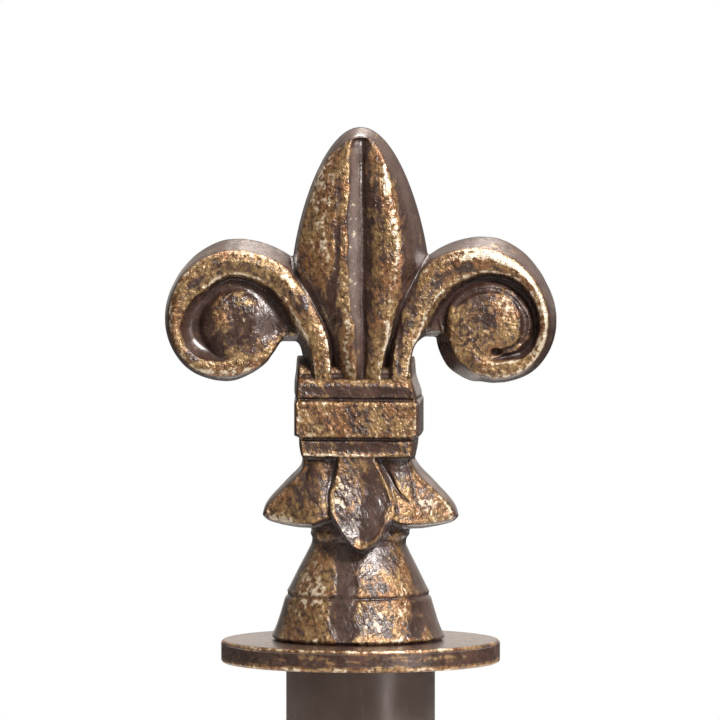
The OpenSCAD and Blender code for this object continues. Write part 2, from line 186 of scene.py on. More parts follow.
# Half the band's width, the width of its flank and its inner edge, which is where the front face ends, counted
# from the outline, all by station; and the boss's radius, by angle. 1 is the right-hand scroll, -1 the left
HALF_WIDTH = [(-7, 5.2), (-5, 5.4), (-4, 5.5), (-3, 5.6), (-2, 5.6), (-1, 5.75), (-0.5, 5.8), (0, 5.6),
              (1.37, 5.2), (2.7, 3.3), (4.37, 2.35), (5.87, 2.5), (7.53, 3.0), (9.03, 4.0), (9.9, 4.5)]
FLANK_W = {
    1: [(-7, 0.6), (-3, 0.65), (-2, 0.9), (-1, 1.6), (0, 1.8), (0.6, 2.4), (1.2, 3.0), (1.6, 3.0), (2.4, 2.0),
        (3, 1.3), (3.7, 1.1), (4.4, 1.0), (5.9, 1.1), (7.0, 1.6), (7.6, 2.3), (8.5, 2.9), (9.9, 3.4)],
    -1: [(-7, 0.6), (-3, 0.65), (-2, 0.9), (-1, 2.4), (0, 2.9), (1.2, 3.1), (1.7, 2.7), (2.2, 1.9), (2.7, 1.3),
         (3.2, 1.2), (3.8, 1.5), (4.37, 1.6), (5.87, 1.7), (7.2, 1.5), (8.5, 1.2), (9.9, 1.1)],
}
INNER_EDGE = {
    1: [(-7, 6.6), (-5, 6.8), (-4, 7.1), (-3, 8.0), (-2.1, 8.8), (-1.3, 9.3), (-0.5, 9.8), (0.1, 9.75),
        (0.56, 9.5), (0.96, 9.1), (1.73, 7.8), (2.32, 5.9), (2.79, 4.7), (3.34, 4.0), (3.84, 3.6), (4.43, 3.4),
        (5.2, 3.3), (5.71, 3.8), (6.3, 5.2), (7.4, 6.0), (9.9, 9.0)],
    -1: [(-7, 6.6), (-5, 6.8), (-4, 7.1), (-3, 7.6), (-2.05, 8.0), (-1.55, 8.6), (-1, 9.0), (-0.3, 9.4),
         (0.43, 9.5), (1.0, 9.5), (1.57, 9.5), (2.12, 9.1), (2.76, 8.1), (3.28, 6.8), (3.84, 5.8), (4.34, 5.0),
         (4.75, 4.5), (5.2, 4.3), (5.8, 4.8), (6.5, 5.2), (7.4, 5.8), (9.9, 9.0)],
}
BOSS_EDGE = {
    1: [(-180, 10.6), (-168, 10.8), (-154, 11.5), (-141, 12.2), (-129, 12.9), (-118, 13.1), (-105, 13.4),
        (-93, 12.6), (-84, 10.0), (-68, 9.0), (-50, 9.9), (-23, 10.8), (2, 10.7), (26, 10.2), (47, 9.9), (70, 9.8),
        (98, 9.7), (130, 10.0), (155, 10.4), (180, 10.6)],
    -1: [(-180, 14.0), (-168, 14.2), (-150, 13.6), (-130, 13.6), (-110, 13.9), (-96, 13.2), (-80, 11.0),
         (-64, 8.4), (-45, 7.0), (-18, 6.6), (2, 6.3), (20, 6.1), (45, 5.9), (70, 6.4), (91, 7.0), (111, 8.2),
         (128, 9.2), (151, 10.7), (165, 11.8), (173, 12.8), (180, 14.0)],
}
GROOVE_Z = {1: 6.0, -1: 6.4}
WEB_LOW_Z = {1: 77.8, -1: 76.4}


def band_height(station, left, side):
    """Section of the band: a sloping flank on the outside, a rounded front face and an inner wall. On the
    stem the flank starts from a narrow ledge. In the left-hand scroll the inner wall is a wide cove, and a
    shallow line runs along the crest."""
    q = smooth_table(station, HALF_WIDTH) - left
    on_stem = ease(-station, 0.2, 1.6)
    ledge_w = 1.1 * on_stem
    flank_w = smooth_table(station, FLANK_W[side])
    inner = smooth_table(station, INNER_EDGE[side])
    across = (q - flank_w - ledge_w) / np.maximum(inner - flank_w - ledge_w, 0.6)
    top = smooth_table(station, [(-7, 11.4), (-5, 11.0), (-2, 10.3), (0, 9.9), (4, 10), (6.5, 9.8), (8.3, 9.2),
                                 (9.9, 8.6)])
    middle = smooth_table(station, [(-7, 0.35), (-2, 0.35), (0, 0.2), (1.4, 0.16), (3, 0.3), (4.4, 0.42), (7, 0.5),
                                    (9.9, 0.5)])
    fall = smooth_table(station, [(-7, 1.6), (-2, 1.7), (0, 1.9), (1.4, 1.7), (3, 1.3), (4.4, 1.3), (9.9, 0.8)])
    front = top - fall * np.abs(across - middle) ** 2.1
    front = front - 1.1 * np.clip((0.42 - across) / 0.42, 0, 1.3) ** 2 * ease(station, -5, 0)
    lip = 0.3 * bump(across, 0.94, 0.07) * ease(station, -3.2, -1.6) * ease(-station, -4.4, -3)
    if side < 0:
        front = front - 0.45 * bump(across, 0.17, 0.06) * ease(station, -0.6, 0.6) * ease(-station, -6.2, -4.8)
    flank = top * (q - ledge_w) / flank_w
    edge = top - fall * (1 - middle) ** 2.1
    down = q - inner
    steep = smooth_table(station, [(-7, 13), (-4, 11), (-3.3, 5), (-2.6, 2.0), (-1, 1.6), (0.6, 2.2), (2, 3.4),
                                   (9.9, 3.4)])
    wall = edge + 0.4 - steep * down
    if side < 0:
        cove = edge + 0.3 - 4.6 * (1 - np.exp(-np.clip(down, -1, None) / 2.1)) - 2.0 * np.clip(down - 4.6, 0, None)
        wall = wall + (cove - wall) * ease(station, 2.0, 3.4) * ease(-station, -7.6, -6.6)
    height = soft_min(soft_min(flank, front + lip, 0.9), wall, 0.5)
    ledge = 7.2 * on_stem - 2.2 * np.abs(q - 0.45) - 12 * (1 - on_stem) - 9 * np.clip(q - 1.5, 0, None)
    height = soft_max(height, ledge, 0.25)
    return height - 14 * ease(station, 8.7, 9.8)


def scroll_height(x, z, side):
    """The band, the web behind the groove and the domed boss, which the band runs into at its end. The
    right-hand groove ends in a small pit."""
    station, left = along_band(x, z)
    band = band_height(station, left, side)
    right_of_stem = (left < 0) | (station > 0)
    reach = np.hypot(x - EYE_X, z - EYE_Z)
    angle = np.degrees(np.arctan2(z - EYE_Z, x - EYE_X))
    boss_r = smooth_table(angle, BOSS_EDGE[side])
    joined = np.clip(ease(-angle, 78, 100) + ease(angle, 150, 175), 0, 1)
    dome = 9.5 - (1.7 - 0.75 * joined) * (reach / boss_r) ** 3.2
    if side < 0:
        turned = np.where(angle < 0, angle + 360, angle)
        dome = dome - 0.5 * np.clip(reach - 7, 0, None) * ease(turned, 80, 130) * ease(-turned, -225, -185)
        slope = 2.0 + 5.0 * ease(-angle, 70, 92)
    else:
        slope = 3.2
    wall = 8.4 - slope * (reach - boss_r)
    strip = ease(angle, -80, -50) * ease(-angle, -165, -120) * (side > 0)
    dome = dome - 0.8 * strip * ease(reach, boss_r - 2.1, boss_r - 1.6)
    boss = soft_min(dome, wall, 0.9) + 0.4 * strip * bump(reach, boss_r - 0.35, 0.3)
    floor_z = GROOVE_Z[side]
    disc = soft_min(np.full_like(x, floor_z), 4 * (13.6 - reach), 0.5)
    wedge = soft_min(np.full_like(x, floor_z), FLANK_SLOPE * (z - WEB_LOW_Z[side]), 0.5)
    wedge = np.where(right_of_stem & (x < EYE_X) & (z < EYE_Z + 12) & (reach < 21), wedge, -20)
    inside = soft_max(soft_max(disc, wedge, 0.3), boss, 0.7)
    both = soft_max(band, inside, 0.6)
    if side > 0:
        both = both - 2.2 * bump(np.hypot((x - 35.4) / 1.5, z - 74.4), 0, 0.95) * (both > 4)
    return both


def flower_height(x, z):
    """Petal and both scrolls; the casting is a little out of true, as the photographed one is."""
    petal = petal_height(x, z)
    right = scroll_height(np.abs(x), z, 1)
    left = scroll_height(np.abs(x), z + 0.9 * ease(z, 90, 102), -1)
    scrolls = np.where(x > 0, right, left)
    return soft_max(petal, scrolls, 0.7)


# Collar, leaves and foot

def collar_height(x, z):
    """A block with three bands between dark lines. The upper band ends in a bevelled edge under a shoulder
    that slopes back to the mid-plane."""
    face = smooth_table(z, [(46.9, 9.6), (47.35, 11.3), (47.7, 12.25), (48.2, 12.3), (48.7, 12.05), (49.3, 12.1),
                            (51.6, 12.2), (52.0, 11.6), (52.4, 11.7), (52.7, 13.2), (53.2, 13.45), (57, 13.4),
                            (61.2, 13.4), (61.8, 13.3), (62.15, 12.0), (62.5, 11.9), (62.8, 12.6), (63.4, 12.75),
                            (65.7, 12.6), (66.1, 12.4), (67.3, 11.3), (67.6, 10.6), (67.95, 9.2), (68.5, 9.2),
                            (69.5, 8.8), (72.1, 2.6), (73.5, -3)])
    half = smooth_table(z, [(46, 13.6), (47.5, 14.7), (51.9, 15.2), (52.4, 15.2), (52.7, 16.4), (61.9, 16.4),
                            (62.3, 16.1), (63, 16.35), (65.7, 16.0), (69, 15.4), (72.1, 15.2), (74, 15)])
    draft = smooth_table(z, [(46, 0.7), (49, 0.4), (52, 0.2), (61, 0.2), (63, 0.8), (67.5, 1.0), (73, 1.0)])
    low = 12 * (z - 46.6)
    walls = 12.5 * (half - np.abs(x)) / draft
    return soft_min(soft_min(face, walls, 0.3), low, 0.4)


FRONT_LEAF_LEFT = [(23.9, 1.3), (24.2, 0.6), (24.8, -0.6), (26.5, -2.3), (28.2, -3.75), (30, -5.0), (32, -6.2),
                   (34.6, -7.2), (37.6, -7.4), (41.2, -6.4), (44.2, -5.5), (46.6, -4.9), (49, -4.6)]
FRONT_LEAF_RIGHT = [(23.9, 2.0), (24.2, 2.9), (24.8, 4.1), (26.3, 5.5), (27.9, 6.5), (30.3, 7.5), (31.6, 8.5),
                    (33.3, 9.7), (35.5, 9.6), (37.6, 8.9), (41.9, 7.2), (46.6, 5.1), (49, 4.8)]


def front_leaf_height(x, z):
    """A leaf that hangs from the collar and curls out to its tip. Its two halves fall from thin raised rims
    to a crease, and round its outline it drops steeply to what is behind it."""
    left = smooth_table(z, FRONT_LEAF_LEFT)
    right = smooth_table(z, FRONT_LEAF_RIGHT)
    crease = smooth_table(z, [(24, 1.1), (30, 0.7), (40, 0.45), (48, 0.4)])
    spine = smooth_table(z, [(22, 17.9), (25, 17.9), (28, 17.5), (32, 16.3), (36, 14.7), (40, 13.3), (44, 12.3),
                             (48, 11.7)])
    share = np.where(x < crease, (crease - x) / (crease - left), (x - crease) / (right - crease))
    share = np.clip(share, 0, 1.4)
    cup = 1.5 * ease(z, 49, 40) * (1 - 0.45 * ease(-z, -29, -25))
    inside = np.minimum(x - left, right - x)
    inside = np.minimum(inside, (z - 23.9) * 1.1)
    turned_in = 1.6 * np.clip(share, 0, 1) ** 2.6 * ease(z, 45, 36) * ease(z, 27, 33)
    rim = 0.45 * bump(inside, 0.5, 0.42) * ease(z, 46.5, 41)
    face = spine - cup * (1 - share ** 1.15) - turned_in + rim
    fall = 9 * np.clip(-inside, 0, None) + 2.5 * np.clip(0.35 - inside, 0, 1)
    return np.where(z < 49, face - fall, -20)


SIDE_LEAF_TOP = [(9, 60), (12, 56), (13.6, 50), (14.2, 47), (14.9, 45.4), (15.8, 44.2), (18.4, 41.6),
                 (20.75, 39.1), (22.3, 37.5), (24.6, 34.3), (25.2, 32.2), (26, 30.4)]
SIDE_LEAF_LOW = [(6, 30.5), (9, 29.5), (11.8, 28.5), (15.2, 28.6), (18.6, 29.1), (21.4, 29.7), (23.8, 30.5),
                 (25.1, 31.7), (26, 33)]


def side_leaf_height(signed_x, z):
    """A leaf that spreads sideways. Its face leans outwards, a plain sloping flank runs along its upper edge,
    and its lower edge has a thin raised rim over a steep underside. The right-hand leaf has a crack beside
    the front leaf."""
    x = np.abs(signed_x)
    under = (smooth_table(x, SIDE_LEAF_TOP) - z) * 0.72
    over = (z - smooth_table(x, SIDE_LEAF_LOW)) * 0.92
    curl = ease(z, 44, 32)
    face = 11.0 - 0.42 * np.clip(x - 9, -4, None) + 3.1 * curl - 0.016 * np.clip(x - 9, 0, None) ** 2
    face = face - 1.6 * np.log1p(np.exp((8.6 - x) / 1.3))
    crack_x = smooth_table(z, [(34, 15), (36, 13), (39.3, 9.9), (42.6, 8.1), (46.2, 6.0)])
    face = face - 0.9 * bump(signed_x, crack_x, 0.35) * ease(z, 34.5, 37)
    hollow = 0.5 * bump(under, 5.5, 2.6) * ease(x, 8, 13)
    rim = 0.5 * bump(over, 2.2, 0.5) * ease(x, 9, 12)
    ridge = 0.45 * bump(under, 1.7, 0.4)
    height = soft_min(face - hollow + rim + ridge, 7.5 * under, 0.5)
    return soft_min(height, 7.6 * over, 0.5)


FOOT_R = [(-1, 21.5), (0.3, 21.5), (0.7, 22.2), (1.0, 22.3), (1.5, 22.0), (4, 20.9), (8, 19.6), (11.7, 18.5),
          (16, 16.5), (20, 14.5), (23, 12.95), (25.2, 12.1), (26.2, 12.1), (27, 12.65), (27.7, 12.75),
          (28.4, 12.3), (29.4, 12.1), (32, 12.6)]
FOOT_FLANK_SLOPE = 8.5


def foot_height(x, z):
    """A bell-shaped round foot with a turned line and a small bead over the neck. Near the mould's joint its
    side is cut off by a plain sloping flank, and a faint ridge runs where the two meet."""
    radius = smooth_table(z, FOOT_R) - 0.5 * bump(z, 11.7, 0.42) + 0.12 * bump(z, 12.7, 0.5)
    front = np.sqrt(np.clip(radius ** 2 - x ** 2, 0, None))
    flank = FOOT_FLANK_SLOPE * (radius - np.abs(x))
    seam = 0.16 * bump(flank - front, 0.3, 0.5)
    height = soft_min(np.where(np.abs(x) < radius, front, -1), flank, 0.35) + seam
    return np.where(z < 32.5, height, -20)


def heart_height(x, z):
    """The solid body that the leaves grow from, between the neck and the collar."""
    wide = smooth_table(z, [(26, 11.9), (31, 12.6), (38, 12.8), (47, 14.2), (50, 14.4)])
    deep = smooth_table(z, [(26, 11.9), (31, 12.2), (38, 10.8), (47, 10.2), (50, 10.2)])
    round_part = deep * np.sqrt(np.clip(1 - np.clip(np.abs(x) / wide, 0, 1) ** 2.6, 0, None))
    inside = np.where(np.abs(x) < wide, round_part, 3.5 * (wide - np.abs(x)))
    return np.where((z > 26) & (z < 50), inside, -20)


def base_height(x, z):
    """Foot, leaves and collar together."""
    body = soft_max(foot_height(x, z), heart_height(x, z), 1.0)
    body = soft_max(body, side_leaf_height(x, z), 0.5)
    body = soft_max(body, front_leaf_height(x, z), 0.3)
    return soft_max(body, collar_height(x, z), 0.4)


# From heights to closed meshes

def blurred(values, reach):
    """The values smoothed over a few cells, which rounds their kinks as a sand mould does."""
    span = np.arange(-int(3 * reach + 1), int(3 * reach + 1) + 1)
    weights = np.exp(-0.5 * (span / reach) ** 2)
    weights /= weights.sum()
    for axis in (0, 1):
        padded = np.pad(values, [(len(span) // 2,) * 2 if a == axis else (0, 0) for a in (0, 1)], mode="edge")
        values = sum(w * np.take(padded, range(i, i + values.shape[axis]), axis=axis)
                     for i, w in enumerate(weights))
    return values


def noise_grid(x, z, size, seed):
    """Smooth random hills, about size across, from -1 to 1."""
    rng = np.random.default_rng(seed)
    u, v = (x - x.min()) / size, (z - z.min()) / size
    grid = rng.uniform(-1, 1, (int(v.max()) + 3, int(u.max()) + 3))
    i, j = u.astype(int), v.astype(int)
    s, t = u - i, v - j
    s, t = s * s * (3 - 2 * s), t * t * (3 - 2 * t)
    return ((grid[j, i] * (1 - s) + grid[j, i + 1] * s) * (1 - t)
            + (grid[j + 1, i] * (1 - s) + grid[j + 1, i + 1] * s) * t)


# How far the casting is out of true: height, shift to the right and shift for each millimetre to the front
FLOWER_LEAN = [(60, -1.0, 0.2), (78, -1.0, 0.2), (86, -0.3, 0.05), (93, 0, 0), (133, 0, 0)]
BASE_LEAN = [(-1, -0.6, 0), (8, -0.6, 0), (24, -0.5, 0.02), (29, 0, 0.03), (44, 0, 0.03), (47.5, -0.6, 0.05),
             (62, -0.6, 0.05), (68, -1.2, 0.05), (74, -1.2, 0.05)]


# Rubbed more or less along a band, by station: at its outer crest, and down the middle of its face
CREST_RUB = {
    1: [(-7, 0.0), (-1, 0.1), (0, 0.25), (1.2, 0.6), (2, 0.9), (4.0, 0.85), (5.6, 0.2), (9.9, 0)],
    -1: [(-7, 0.1), (-4.5, 0.15), (-3.2, 0.4), (-2, 0.5), (-0.8, 0.4), (0, 0.15), (1.5, 0.1), (9.9, 0)],
}
FACE_RUB = {
    1: [(-7, -0.05), (-2, -0.1), (0, -0.15), (2, -0.12), (3, 0.05), (9.9, 0.05)],
    -1: [(-7, -0.1), (-1, 0), (0.5, -0.3), (2.5, -0.3), (4, 0), (9.9, 0.1)],
}


# Shifts of the finish's pattern, so that left and right and front and back don't show the same one
SIDE_SHIFT, BACK_SHIFT = 20.0, 40
# Length in millimetres of a band's station, and how many times shorter the streaks are on the bosses
STATION_LENGTH, BOSS_STREAKS = 9, 4


def brushed_along(x, z):
    """How petal and scrolls were finished. First the place in millimetres along and across the way of the
    brush, up the petal and round the scrolls; then how much more than elsewhere the bands were rubbed; then the
    plain places that keep no gold: the cap over the petal's arch, the left wall of its groove, the outer sides
    of the curls and the left scroll's cove."""
    cap = ease(z - petal_arch(x), -0.2, 0.4) * ease(z, 118, 122)
    groove_wall = 0.7 * bump(x, -0.6, 1.5) * ease(z, 68, 76) * ease(petal_arch(x) - z, 0.5, 3)
    plain = np.maximum(cap, groove_wall)
    station, left = along_band(np.abs(x), z)
    q = smooth_table(station, HALF_WIDTH) - left
    extra = np.zeros_like(x)
    on_band, on_boss = np.zeros(x.shape, bool), np.zeros(x.shape, bool)
    for side in (1, -1):
        this_side = x * side > 0
        here = this_side & (station > -6.9)
        flank_w, inner = smooth_table(station, FLANK_W[side]), smooth_table(station, INNER_EDGE[side])
        share = (q - flank_w) / (inner - flank_w)
        stripes = (smooth_table(station, CREST_RUB[side]) * bump(share, 0.24, 0.2)
                   + smooth_table(station, FACE_RUB[side]) * bump(share, 0.52, 0.2)
                   + 0.35 * bump(share, 0.94, 0.06))
        extra = np.where(here, stripes * ease(-station, -9.4, -8.2), extra)
        outer_side = ease(flank_w - q, 0.2, 1.1) * ease(q, -0.9, -0.2) * here * ease(station, -1, 0.5)
        plain = np.maximum(plain, outer_side)
        if side < 0:
            cove = bump(q, inner + 1.9, 2.0) * ease(station, 2.8, 3.8) * ease(-station, -7.6, -6.8) * here
            plain = np.maximum(plain, cove)
        on_band |= this_side & (q > 0) & (q < inner + 1) & (station < 9)
        on_boss |= this_side & ((q >= inner + 1) | (station >= 9))
    along = np.where(on_band, STATION_LENGTH * station, z * np.where(on_boss, BOSS_STREAKS, 1))
    across = np.where(on_band, left, x)
    return np.stack([along, across, SIDE_SHIFT * (x > 0)], axis=2), extra, plain


def brushed_aslant(x, z):
    """The same three for collar, leaves and foot: brushed aslant, with no band and no plain place."""
    nothing = np.zeros_like(x)
    return np.stack([z - 0.5 * x, x + 0.5 * z, nothing], axis=2), nothing, nothing


def wear_of(x, z, height, pitch, brushed, patches):
    """What the finish reads at each vertex. flank: steep sides and plain places, less so on the right scroll's
    outer side, which is darker, and not on the petal's upper left side, which was rubbed. crevice: places lower
    than what is round them, which the finish darkens with patina and painted shade. rub: what a cloth would
    reach, from how far a place stands over its surroundings, plus the places that were rubbed more or less by
    hand. Last, places worn to pale metal, together with painted highlights and a painted sheen."""
    _, extra, plain = brushed
    rubbed, pale = patches
    dz, dx = np.gradient(blurred(height, 0.35 / pitch), pitch)
    slope = np.hypot(dx, dz)
    solid = np.clip(height, -1, None)
    fine = solid - blurred(solid, 0.7 / pitch)
    wide = solid - blurred(solid, 2.4 / pitch)
    gilt_side = 0.85 * ease(-x, 3, 7) * ease(x, -22, -18) * ease(z, 97, 101)
    flank = np.maximum(ease(slope, 1.7, 3.0) * (1 - gilt_side), 0.9 * plain)
    crevice = np.clip(ease(-fine, 0.06, 0.45) + 0.6 * ease(-wide, 0.5, 2.0), 0, 1)
    rub = 0.55 + 0.22 * np.clip(wide, -1, 0.8) + 0.9 * np.clip(fine, -0.2, 0.3)
    rub = rub + by_hand(x, z, rubbed) + extra - flank - 0.35 * crevice
    # Places worn to pale metal, with painted highlights and a painted sheen, kept out of hollows
    worn_pale_and_highlight = by_hand(x, z, pale) * (1 - crevice)
    dull_side = 0.8 * ease(x, 42, 47) * ease(-z, -98, -92)
    return {"rub": np.clip(rub, 0, 1.5), "worn_pale_and_highlight": worn_pale_and_highlight, "crevice": crevice, "flank": flank * (1 - dull_side)}


# Places rubbed more (over 0) or less (under 0) than their shape says: x, z, half width, half height, amount.
# First those of petal and scrolls, then those of collar, leaves and foot
RUBBED = [
    (-8.8, 114, 3.4, 12, 0.38), (-9.2, 98, 3.4, 7, 0.26), (-15.6, 101, 1.8, 10, -0.45),
    (-13.2, 113, 1.5, 6, -0.35), (10.2, 100, 0.9, 9, 0.4), (9.0, 110, 0.9, 6, 0.4), (7.2, 118, 1.0, 6, 0.35),
    (8.8, 88, 0.8, 6, 0.35), (6.8, 76, 0.8, 8, 0.4), (12.6, 100, 1.2, 14, -0.5), (10.6, 114, 1.2, 7, -0.4),
    (14.5, 104, 1.6, 18, -0.6), (-0.8, 104, 1.4, 22, -0.65), (3.0, 100, 1.4, 22, -0.35),
    (-3.0, 104, 0.5, 20, 0.35), (-4.9, 108, 0.9, 17, -0.42), (-5.8, 92, 0.8, 6, -0.25),
    (-1.9, 80, 0.5, 12, 0.4), (-8, 128, 5, 3, -0.1), (2.5, 128, 6, 3, -0.5), (-0.5, 74, 1.1, 12, -0.6),
    (-3.6, 78, 1.0, 11, 0.35), (-6.8, 84, 1.5, 8, -0.45), (-12, 89, 3, 5, -0.7), (9.6, 78, 1.0, 9, -0.6),
    (-31, 82, 7, 8, -0.45), (-35, 83, 2.0, 3.5, 0.5), (-38.5, 79, 2.4, 6, -0.6), (-23, 84, 3.5, 7, -0.8),
    (-41.0, 82, 1.7, 9, -0.8), (-33, 69.5, 7, 1.8, 0.25), (42.4, 82, 1.3, 9, -0.7), (38, 86, 2.5, 3.5, 0.4),
    (32, 83, 4, 3, -0.2), (31, 89, 5, 2.2, -0.6), (34, 91.4, 9, 1.2, -0.7), (25, 88.0, 3, 2.5, -0.5),
    (34.6, 73.6, 2.2, 1.0, 0.5),
]
LOW_RUBBED = [
    (0, 57, 20, 4.6, 0.09), (0, 64.4, 20, 1.9, -0.8), (0, 66.9, 20, 0.6, 0.1), (0, 50.6, 20, 1.8, -0.4),
    (0, 48.0, 20, 0.5, 0.45), (0, 69.5, 20, 1.6, -0.6), (4.5, 38, 3.0, 9, -0.9), (-3.2, 36, 2.2, 9, -0.3),
    (5.8, 28, 2, 2.6, 0.3), (16, 36, 5, 5, -0.1), (11, 45.5, 4, 2.6, -0.8), (-12, 40, 4, 7, -0.35),
    (-21, 31.5, 4, 1.8, 0.4), (-10.5, 14, 4, 10, 0.35), (-2.3, 13, 2.9, 14, -1.1), (5.8, 21, 4.2, 4.6, -0.55),
    (6.0, 6, 4.5, 4.6, -0.2), (12.5, 8, 1.4, 9, 0.3), (0, 29.5, 11, 2.5, -0.7), (16.5, 10, 2.0, 16, -0.7),
]


# Places worn to pale metal, together with painted highlights and a painted sheen on plain sides, in the same two
# lists
PALE_AND_HIGHLIGHT = [
    (-1.2, 100, 2.0, 28, 0.43), (38.2, 86, 3.2, 4.0, 0.45), (34.2, 73.0, 2.2, 0.9, 0.6),
    (-29.5, 83, 3.4, 4, 0.35), (-18, 91, 3, 4, 0.4),
]
LOW_PALE_AND_HIGHLIGHT = [
    (16.5, 36, 6.5, 6, 0.62), (-3.2, 39, 3.2, 8, 0.62), (-2.5, 29, 2.6, 4, 0.35), (5.8, 20.5, 4, 5, 0.42),
    (6.0, 6, 4.6, 5, 0.6), (1, 28, 3, 2.5, 0.4),
]


def by_hand(x, z, patches):
    """Sum of soft patches, each an oval of its own size and amount, with an outline made uneven by small hills."""
    total = np.zeros_like(x)
    ripple_x, ripple_z = noise_grid(x, z, 3.5, 8), noise_grid(x, z, 3.5, 9)
    for px, pz, half_w, half_h, amount in patches:
        across, along = (x - px) / half_w + 0.4 * ripple_x, (z - pz) / half_h + 0.2 * ripple_z
        total += amount * np.exp(-(across ** 2 + along ** 2) ** 1.4)
    return total


# How much the mould rounds every kink, in millimetres, and how much of the front's lean the back has
MOULD_ROUNDING, BACK_LEAN = 0.22, -0.3


def casting_mesh(name, height_of, brushing, patches, reach, pitch, rough, lean):
    """Mesh of a height and its mirror, over reach: the half width and the lowest and highest z. Only cells that
    touch the outline's inside are kept, and their outer corners are drawn in to where the height falls to nothing,
    where both halves share them. It is closed but for a small hidden triangle at each end of its flat bottom.
    rough: size, amount and seed of the casting's unevenness. lean: how far it is out of true near its axis, by
    height."""
    x_reach, z_low, z_high = reach
    xs = np.arange(-x_reach, x_reach + pitch / 2, pitch)
    zs = np.arange(z_low, z_high + pitch / 2, pitch)
    x, z = np.meshgrid(xs, zs)
    height = blurred(height_of(x, z), MOULD_ROUNDING / pitch)
    for size, amount, seed in rough:
        height = height + amount * noise_grid(x, z, size, seed) * ease(height, 0.5, 3)
    inside = height > 0
    cell = inside[:-1, :-1] | inside[1:, :-1] | inside[:-1, 1:] | inside[1:, 1:]
    used = np.zeros_like(inside)
    for a, b in ((0, 0), (1, 0), (0, 1), (1, 1)):
        used[a:a + cell.shape[0], b:b + cell.shape[1]] |= cell
    edge = used & ~inside
    moved_x, moved_z, count = np.zeros_like(x), np.zeros_like(x), np.zeros_like(x)
    for a, b in ((1, 0), (-1, 0), (0, 1), (0, -1), (1, 1), (1, -1), (-1, 1), (-1, -1)):
        other_h = np.roll(height, (a, b), axis=(0, 1))
        other_in = np.roll(inside, (a, b), axis=(0, 1)) & edge
        share = np.where(other_in, height / np.where(other_in, height - other_h, 1), 0)
        moved_x += other_in * share * -b * pitch
        moved_z += other_in * share * -a * pitch
        count += other_in
    count = np.maximum(count, 1)
    x = x + np.where(edge, moved_x / count, 0)
    z = z + np.where(edge, moved_z / count, 0)
    y = np.where(edge, 0, height)
    front_id = np.cumsum(used).reshape(used.shape) - 1
    n = int(used.sum())
    back_id = np.where(inside, n + np.cumsum(inside).reshape(used.shape) - 1, front_id)
    knots = np.array(lean)
    near_axis = 1 - ease(np.abs(x), 24, 38)
    off, shear = (near_axis * smooth_table(z, knots[:, [0, k]]) for k in (1, 2))
    front = np.stack([x + off + shear * y, -y, z], axis=2)[used]
    back = np.stack([x + off + BACK_LEAN * shear * y, y, z], axis=2)[inside]
    verts = np.concatenate([front, back])

    def quads(ids):
        """The four corners of every kept cell."""
        return np.stack([ids[:-1, :-1][cell], ids[:-1, 1:][cell], ids[1:, 1:][cell], ids[1:, :-1][cell]], axis=1)

    faces = [quads(front_id), quads(back_id)[:, ::-1]]
    for row, turn in ((0, 1), (-1, -1)):
        run = cell[row]
        f, b = front_id[row], back_id[row]
        cap = np.stack([f[:-1][run], b[:-1][run], b[1:][run], f[1:][run]], axis=1)
        faces.append(cap[:, ::turn])
    piece = mesh_object(name, verts, np.concatenate(faces))
    brushed = brushing(x, z)
    for label, values in wear_of(x, z, height, pitch, brushed, patches).items():
        data = np.concatenate([values[used], values[inside]]).astype(np.float32)
        piece.data.attributes.new(label, "FLOAT", "POINT").data.foreach_set("value", data)
    flow = brushed[0]
    data = np.concatenate([flow[used], flow[inside] + np.array([0, 0, BACK_SHIFT])]).astype(np.float32) * MM
    piece.data.attributes.new("flow", "FLOAT_VECTOR", "POINT").data.foreach_set("vector", data.ravel())
    return piece


def mesh_object(name, verts_mm, faces):
    """A smooth-shaded object from quads, given in millimetres over the plate's top."""
    mesh = bpy.data.meshes.new(name)
    co = verts_mm * MM + np.array([0, 0, PLATE_TOP])
    mesh.vertices.add(len(co))
    mesh.vertices.foreach_set("co", co.astype(np.float32).ravel())
    mesh.loops.add(faces.size)
    mesh.loops.foreach_set("vertex_index", faces.astype(np.int32).ravel())
    mesh.polygons.add(len(faces))
    mesh.polygons.foreach_set("loop_start", np.arange(0, faces.size, faces.shape[1], dtype=np.int32))
    mesh.update(calc_edges=True)
    mesh.validate()
    mesh.shade_smooth()
    obj = bpy.data.objects.new(name, mesh)
    bpy.context.scene.collection.objects.link(obj)
    return obj


# Node building

def srgb(r, g, b):
    """Linear colour of a screen colour in 0 to 255."""
    shares = (r / 255, g / 255, b / 255)
    return tuple(c / 12.92 if c <= 0.04045 else ((c + 0.055) / 1.055) ** 2.4 for c in shares) + (1,)


